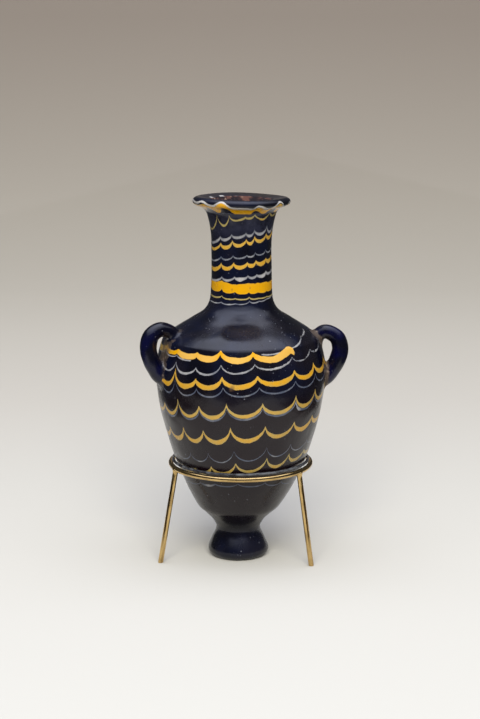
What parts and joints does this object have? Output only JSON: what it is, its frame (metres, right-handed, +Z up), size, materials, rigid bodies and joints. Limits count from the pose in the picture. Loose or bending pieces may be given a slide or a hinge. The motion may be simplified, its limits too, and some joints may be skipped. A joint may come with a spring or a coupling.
{
  "type": "glass vase",
  "caption": "Small core-formed dark blue glass vase with loop handles, knob foot and festooned thread bands, held upright in a brass rod stand.",
  "frame": {"origin": "centre of the flat underside of the vase's knob foot, on the surface that foot and stand rest on", "axes": "+Z up along the vase, X roughly through the two handles with the level one at +X, -Y towards the side with two stand legs"},
  "size_m": [0.0678, 0.0565, 0.1203],
  "materials": {
    "dark_blue_glass": "opaque-looking deep blue glass, smooth and slightly hazed, with yellow and pale blue threads marvered flush",
    "brass_rod": "polished brass rod with a light tarnish",
    "stand_liner": "dark glossy soft tubing"
  },
  "bodies": {
    "root": {"vase": "dark_blue_glass", "stand_ring": "brass_rod", "ring_liner": "stand_liner", "stand_leg_left": "brass_rod", "stand_leg_right": "brass_rod", "stand_leg_back": "brass_rod"}
  },
  "joints": []
}
